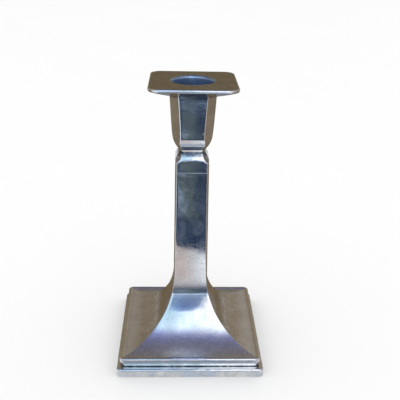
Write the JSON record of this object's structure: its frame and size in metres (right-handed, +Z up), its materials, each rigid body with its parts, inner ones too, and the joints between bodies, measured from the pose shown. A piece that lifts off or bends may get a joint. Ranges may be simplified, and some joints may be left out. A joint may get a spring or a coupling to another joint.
{
  "type": "candlestick",
  "caption": "Square-footed silver candlestick with a swept square stem, octagonal socket and a lift-out nozzle with a square drip pan, for one dinner candle.",
  "frame": {"origin": "centre of the foot's underside, on the surface that the candlestick stands on", "axes": "+Z up along the stem and the candle, X and Y square to the sides of the foot, the front facing -Y"},
  "size_m": [0.0832, 0.0832, 0.16],
  "materials": {
    "nozzle_silver": "polished",
    "socket_silver": "polished",
    "stem_silver": "polished",
    "foot_silver": "satin",
    "iron": "matte",
    "baize": "matte",
    "cement": "matte"
  },
  "bodies": {
    "candlestick": {"socket_cup": "socket_silver", "shoulder_cap": "socket_silver", "stem_panel_front": "stem_silver", "stem_panel_right": "stem_silver", "stem_panel_back": "stem_silver", "stem_panel_left": "stem_silver", "lip_moulding": "foot_silver", "foot_rim": "foot_silver", "closing_plate": "iron", "baize_pad": "baize", "cement_filling": "cement", "tie_rod": "iron", "rod_nuts": "iron", "rod_washers": "iron"},
    "nozzle": {"nozzle_pan": "nozzle_silver", "nozzle_sleeve": "nozzle_silver", "nozzle_floor": "nozzle_silver"}
  },
  "joints": [
    {"name": "nozzle_lift", "type": "slide", "parent": "candlestick", "child": "nozzle", "axis": [0, 0, 1], "range_m": [0, 0.05]}
  ]
}
